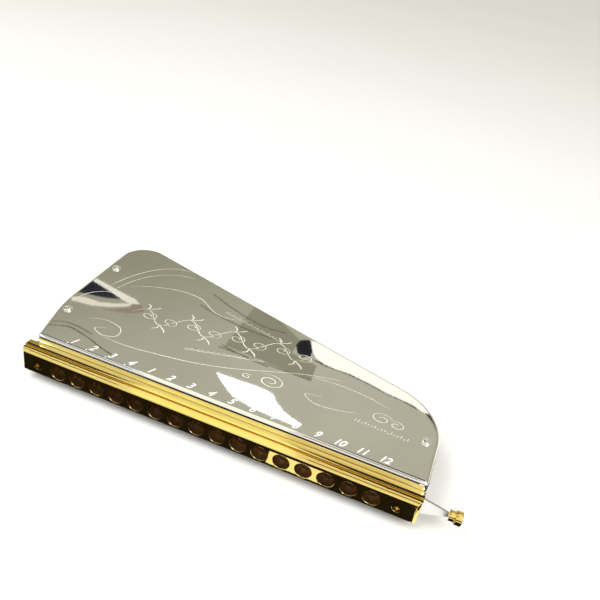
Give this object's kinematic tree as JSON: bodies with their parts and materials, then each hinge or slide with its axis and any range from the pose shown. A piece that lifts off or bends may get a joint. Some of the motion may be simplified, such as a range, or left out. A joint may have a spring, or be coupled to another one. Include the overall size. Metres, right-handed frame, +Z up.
{
  "type": "harmonica",
  "caption": "Slide chromatic harmonica with a tapered deep body, rounded mouthpiece, sprung slide button and tandem reeds.",
  "frame": {"origin": "on the flat underside of the bottom cover, straight below the middle of the row of mouth holes and 6 mm behind the comb's front face", "axes": "+X along the row of holes towards the high notes and the slide button, +Y from the player to the back of the covers, +Z up through the thickness"},
  "size_m": [0.212, 0.1063, 0.0231],
  "materials": {
    "comb_plastic": "black moulded ABS, satin",
    "plate_brass": "milled brass plate",
    "reed_brass": "filed phosphor bronze reeds",
    "valve_film": "thin translucent polyester film",
    "cover_chrome": "mirror-polished chrome plate, finely engraved",
    "screw_steel": "bright nickel-plated screws",
    "gold_plate": "polished gold plate",
    "steel": "rolled stainless steel",
    "bumper_rubber": "black silicone rubber"
  },
  "bodies": {
    "harmonica_body": {"comb": "comb_plastic", "upper_reed_plate": "plate_brass", "lower_reed_plate": "plate_brass", "upper_plate_screws": "steel", "lower_plate_screws": "steel", "upper_draw_reeds": "reed_brass", "upper_blow_reeds": "reed_brass", "lower_draw_reeds": "reed_brass", "lower_blow_reeds": "reed_brass", "upper_draw_valves": "valve_film", "upper_blow_valves": "valve_film", "lower_draw_valves": "valve_film", "lower_blow_valves": "valve_film", "top_cover": "cover_chrome", "bottom_cover": "cover_chrome", "cover_screws": "screw_steel", "cover_nuts": "screw_steel", "mouthpiece": "gold_plate", "mouthpiece_screws": "gold_plate", "slide_back_plate": "steel", "slide_housing": "steel", "slide_bumper": "bumper_rubber", "slide_spring": "steel"},
    "slide_and_button": {"slide": "steel", "slide_button": "gold_plate"}
  },
  "joints": [
    {"name": "slide_press", "type": "slide", "parent": "harmonica_body", "child": "slide_and_button", "axis": [-1, 0, 0], "range_m": [0, 0.005], "stiffness_N_per_m": 250, "springref_m": -0.006, "deforming": ["slide_spring"]}
  ]
}
